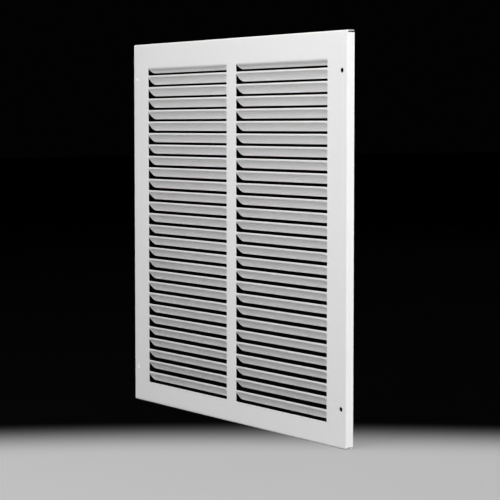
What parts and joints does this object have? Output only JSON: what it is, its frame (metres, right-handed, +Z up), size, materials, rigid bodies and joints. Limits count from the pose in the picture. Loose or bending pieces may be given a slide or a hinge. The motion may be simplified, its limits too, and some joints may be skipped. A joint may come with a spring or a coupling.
{
  "type": "return air vent cover",
  "caption": "Square return air grille pressed from one steel sheet: two columns of lanced louvres, turned-back edge flanges and corner screw holes.",
  "frame": {"origin": "centre of the four screw holes, on the front surface of the face", "axes": "+Z up, -Y out of the front of the face into the room, +Y back towards the duct, +X along the louvres to the right as seen in the picture"},
  "size_m": [0.4, 0.0083, 0.4],
  "materials": {
    "powder_coated_steel": "satin white powder coat"
  },
  "bodies": {
    "root": {"vent_cover": "powder_coated_steel"}
  },
  "joints": []
}
